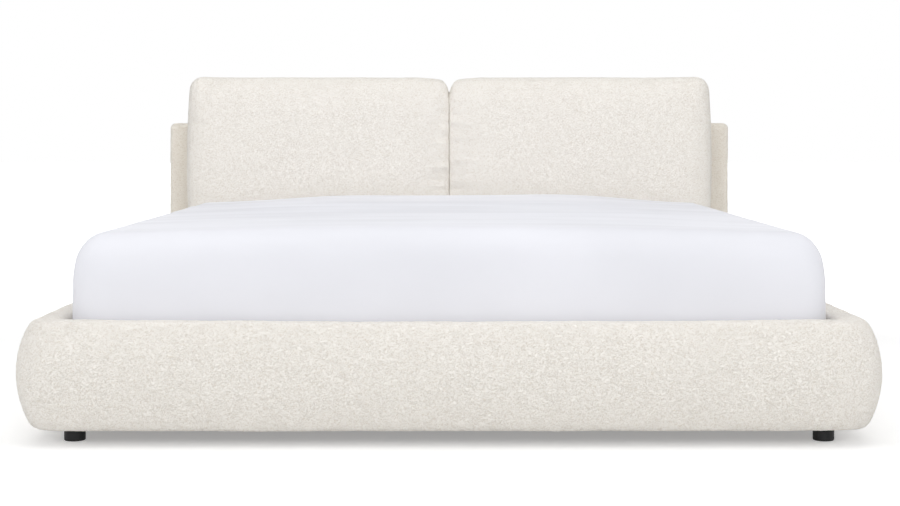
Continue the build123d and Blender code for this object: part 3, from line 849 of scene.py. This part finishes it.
def cushionBlock(side, shape=cushionShape):
    low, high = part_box(side + "_cushion_cover")
    inside = Vector([shape["shrink"]] * 3)
    piece = softBox(side + "Cushion", low + inside, high - inside, shape["roll"], shape["step"])
    co = getPoints(piece)
    share = (co[:, 2] - low.z) / (high.z - low.z)
    deep, foot, top = high.y - low.y, shape["footDepth"], shape["topDepth"]
    edgeDepth = foot + (top - foot) * share
    bulge = (deep - (foot + top) / 2) * (1 - (2 * share - 1) ** 2)
    co[:, 1] = high.y - (high.y - co[:, 1]) * (edgeDepth + bulge) / deep
    middle, half = (low.x + high.x) / 2, (high.x - low.x) / 2
    across = (co[:, 0] - middle) / half * outerSign[side]
    rise = np.clip(share, 0, 1) ** shape["swellRise"]
    pull = shape["swell"] * (1 - 4 * rise * (1 - rise)) * smoothStep(across, shape["swellFrom"], 1.0)
    co[:, 0] -= outerSign[side] * pull
    upper, inner = shape["slackFrom"]
    co[:, 2] -= shape["innerSlack"] * smoothStep(share, upper, 1.0) * smoothStep(-across, inner, 1.0)
    setPoints(piece, co)
    return piece


cushionCloth = dict(voxel=0.011, frames=20, quality=5, pressure=4.0, stretch=18, shear=8, bend=1.2, cap=0.016)


def swellCloth(piece, cloth=cushionCloth):
    remesh = piece.modifiers.new("remesh", "REMESH")
    remesh.mode = "VOXEL"
    remesh.voxel_size = cloth["voxel"]
    applyModifier(piece, remesh)
    before = getPoints(piece)
    modifier = piece.modifiers.new("cloth", "CLOTH")
    settings = modifier.settings
    settings.quality = cloth["quality"]
    settings.use_pressure = True
    settings.uniform_pressure_force = cloth["pressure"]
    settings.effector_weights.gravity = 0
    settings.tension_stiffness = settings.compression_stiffness = cloth["stretch"]
    settings.shear_stiffness = cloth["shear"]
    settings.bending_stiffness = cloth["bend"]
    modifier.collision_settings.use_collision = False
    for number in range(1, cloth["frames"] + 1):
        scene.frame_set(number)
    applyModifier(piece, modifier)
    scene.frame_set(1)
    move = getPoints(piece) - before
    far = np.linalg.norm(move, axis=1)
    capped = move * np.minimum(1, cloth["cap"] / np.maximum(far, 1e-9))[:, None]
    print("   cloth moved", round(float(far.max()) * 1000, 1), "mm, capped to", cloth["cap"] * 1000)
    setPoints(piece, before + capped)


def subdivide(piece):
    modifier = piece.modifiers.new("finer", "SUBSURF")
    modifier.levels = modifier.render_levels = 1
    applyModifier(piece, modifier)


def settleCushion(piece, side, shape=cushionShape):
    low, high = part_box(side + "_cushion_cover")
    sign = outerSign[side]
    inner = low.x if side == "right" else high.x
    co = getPoints(piece)
    small, large = co.min(0), co.max(0)
    co = np.array(low) + (co - small) / (large - small) * np.array(high - low)
    gap = (co[:, 0] - inner) * sign
    co[:, 0] -= sign * shape["press"] * (1 - smoothStep(gap, 0.0, shape["pressReach"]))
    crownShare = 1 - ((co[:, 0] - (low.x + high.x) / 2) / ((high.x - low.x) / 2)) ** 2
    co[:, 2] += shape["topCrown"] * crownShare * smoothStep(co[:, 2], high.z - shape["crownBand"], high.z)
    gap = np.clip((co[:, 0] - inner) * sign, 0, None)
    steep, steepReach, gentle, gentleReach = shape["cornerDrop"]
    drop = steep * np.exp(-gap / steepReach) + gentle * np.exp(-gap / gentleReach)
    co[:, 2] -= drop * smoothStep(co[:, 2], high.z - shape["dropFrom"], high.z - shape["dropTo"])
    frontShare = smoothStep(high.y - co[:, 1], *shape["faceBand"])
    folds = foldNoise(co, shape["wrinkleScale"], shape["wrinkleSeed"][side]) * shape["wrinkle"]
    folds *= np.exp(-gap / shape["wrinkleReach"]) * frontShare
    folds *= smoothStep(co[:, 2], *(low.z + reach for reach in shape["wrinkleLow"]))
    folds *= 1 - smoothStep(co[:, 2], *(high.z - reach for reach in shape["wrinkleHigh"]))
    co[:, 1] -= folds
    co[:, 1] -= foldNoise(co, shape["slackScale"], shape["slackSeed"]) * shape["slack"] * frontShare
    co[:, 1] = np.minimum(co[:, 1], high.y)
    co[:, 2] = np.clip(co[:, 2], low.z, high.z + shape["topCrown"])
    setPoints(piece, co)


def pressTogether(piece, side):
    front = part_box(side + "_cushion_cover")[0].y
    wave, pitch, gap, shift = cushionShape["contact"]
    co = getPoints(piece)
    meeting = wave * np.sin((co[:, 1] - front) * 2 * math.pi / pitch) - shift
    if side == "left":
        co[:, 0] = np.minimum(co[:, 0], meeting - gap)
    else:
        co[:, 0] = np.maximum(co[:, 0], meeting + gap)
    setPoints(piece, co)
    piece.data.shade_smooth()


backSeam = dict(inset=0.032, depth=0.0025, width=0.006, outside=0.02, pathStep=0.006)


def cushionSeam(piece, side, seam=backSeam):
    low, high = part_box(side + "_cushion_cover")
    back, out = high.y - seam["inset"], seam["outside"]
    left, right, foot, top = low.x - out, high.x + out, low.z - out, high.z + out
    ring = [(left, back, foot), (right, back, foot), (right, back, top), (left, back, top)]
    points = []
    for start, stop in zip(ring, ring[1:] + ring[:1]):
        points += evenly(start, stop, seam["pathStep"])[:-1]
    laid = layOn(piece, points)
    tree = KDTree(len(laid))
    for number, place in enumerate(laid):
        tree.insert(place, number)
    tree.balance()
    co = getPoints(piece)
    near = np.array([tree.find(Vector(p))[2] for p in co])
    normals = np.array([v.normal[:] for v in piece.data.vertices])
    co -= normals * (seam["depth"] * np.exp(-(near / seam["width"]) ** 2))[:, None]
    setPoints(piece, co)
    stitches(side + "CushionSeam", layOn(piece, points), side + "_cushion", cyclic=True)


zipper = dict(pitch=0.0036, length=0.0030, radius=0.0012, pathStep=0.01, endInset=0.12, rise=0.060,
              seam=0.009, behind=0.01)


def cushionZip(piece, side):
    low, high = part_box(side + "_cushion_cover")
    left, right, y = low.x + zipper["endInset"], high.x - zipper["endInset"], high.y + zipper["behind"]
    teeth = dict(shape=zipper, material=zincSteel, slot="zinc_steel")
    rows = [("Zip", 0, teeth), ("ZipSeamLower", -zipper["seam"], {}), ("ZipSeamUpper", zipper["seam"], {})]
    for name, shift, finish in rows:
        z = low.z + zipper["rise"] + shift
        path = layOn(piece, evenly((left, y, z), (right, y, z), zipper["pathStep"]))
        stitches(side + name, path, side + "_cushion", **finish)


cushionPile = dict(pile, nubDepth=0.0018, swellDepth=0.003)


def headboardCushion(side, seed):
    piece = cushionBlock(side)
    swellCloth(piece)
    subdivide(piece)
    settleCushion(piece, side)
    addPile(piece, seed, cushionPile)
    pressTogether(piece, side)
    cushionSeam(piece, side)
    cushionZip(piece, side)
    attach(piece, side + "_cushion")
    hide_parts(side + "_cushion_cover", side + "_cushion_core")


headboardCushion("left", 6.0)
headboardCushion("right", 8.0)
print("cushions plumped")


# floor, light and camera

studio = dict(
    floorReach=40.0, floorShade=0.86, floorGlow=0.31, glowFrom=1.9, glowTo=3.2, worldLight=0.42,
    lamps=[("keyLamp", (-0.25, -7.4, 2.1), (0, 0, 0.45), (6.5, 3.2), 142.0),
           ("leftLamp", (-4.4, -2.6, 2.0), (0, 0, 0.3), (3.0, 2.2), 33.0),
           ("rightLamp", (4.4, -2.6, 2.0), (0, 0, 0.3), (3.0, 2.2), 36.0),
           ("topLamp", (-0.1, -0.7, 3.9), (0, 0.8, 0.5), (5.5, 3.6), 70.0),
           ("rearLamp", (0.0, 6.8, 1.5), (0, 0, 0.5), (6.0, 2.4), 105.0)],
)


def aim(lamp, target):
    lamp.rotation_euler = (Vector(target) - lamp.location).to_track_quat("-Z", "Y").to_euler()


def cameraSees(tree):
    path = addNode(tree, "ShaderNodeLightPath").outputs
    seen = mathNode(tree, "ADD", path["Is Camera Ray"], path["Is Glossy Ray"])
    seen = mathNode(tree, "ADD", seen, path["Is Transmission Ray"])
    return mathNode(tree, "MINIMUM", seen, 1.0)


def makeFloor():
    far = studio["floorReach"]
    corners = [(-far, -far, 0), (far, -far, 0), (far, far, 0), (-far, far, 0)]
    floor = meshPiece("floor", corners, [(0, 1, 2, 3)])
    material = bpy.data.materials.new("studioFloor")
    material.use_nodes = True
    tree = material.node_tree
    tree.nodes.clear()
    shade = studio["floorShade"]
    diffuse = addNode(tree, "ShaderNodeBsdfDiffuse")
    diffuse.inputs["Color"].default_value = (shade, shade, shade, 1)
    glow = addNode(tree, "ShaderNodeEmission")
    away = addNode(tree, "ShaderNodeVectorMath", operation="LENGTH")
    fill(tree, away, i0=addNode(tree, "ShaderNodeTexCoord").outputs["Object"])
    fade = addNode(tree, "ShaderNodeMapRange", interpolation_type="SMOOTHSTEP")
    fill(tree, fade, Value=away.outputs["Value"], i1=studio["glowFrom"], i2=studio["glowTo"],
         i3=studio["floorGlow"], i4=1.0)
    tree.links.new(mathNode(tree, "MULTIPLY", cameraSees(tree), fade.outputs[0]), glow.inputs["Strength"])
    both = addNode(tree, "ShaderNodeAddShader")
    fill(tree, both, i0=diffuse.outputs[0], i1=glow.outputs[0])
    end = addNode(tree, "ShaderNodeOutputMaterial")
    tree.links.new(both.outputs[0], end.inputs["Surface"])
    setMaterial(floor, material)


def makeLight():
    world = bpy.data.worlds.new("studioWorld")
    world.use_nodes = True
    tree = world.node_tree
    sky = tree.nodes["Background"]
    sky.inputs["Color"].default_value = (1, 1, 1, 1)
    strength = addNode(tree, "ShaderNodeMapRange")
    fill(tree, strength, Value=cameraSees(tree), i3=studio["worldLight"], i4=1.0)
    tree.links.new(strength.outputs[0], sky.inputs["Strength"])
    scene.world = world
    for name, place, target, size, power in studio["lamps"]:
        lamp = bpy.data.lights.new(name, "AREA")
        lamp.shape, lamp.size, lamp.size_y, lamp.energy = "RECTANGLE", *size, power
        holder = bpy.data.objects.new(name, lamp)
        scene.collection.objects.link(holder)
        holder.location = place
        holder.visible_camera = False
        aim(holder, target)


view = dict(distance=4.30, height=0.775, sensor=36.0, focalPixels=1703.0, imageWidth=900.0, imageHeight=506.0,
            horizon=134.0, middle=449.2)


def makeCamera():
    data = bpy.data.cameras.new("photoCamera")
    data.sensor_width = view["sensor"]
    data.lens = view["focalPixels"] / view["imageWidth"] * data.sensor_width
    data.shift_y = (view["horizon"] - view["imageHeight"] / 2) / view["imageWidth"]
    data.shift_x = (view["imageWidth"] / 2 - view["middle"]) / view["imageWidth"]
    holder = bpy.data.objects.new("photoCamera", data)
    scene.collection.objects.link(holder)
    holder.location = (0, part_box("mattress")[0].y - view["distance"], view["height"])
    holder.rotation_euler = (math.radians(90), 0, 0)
    scene.camera = holder


makeFloor()
makeLight()
makeCamera()
print("studio set")
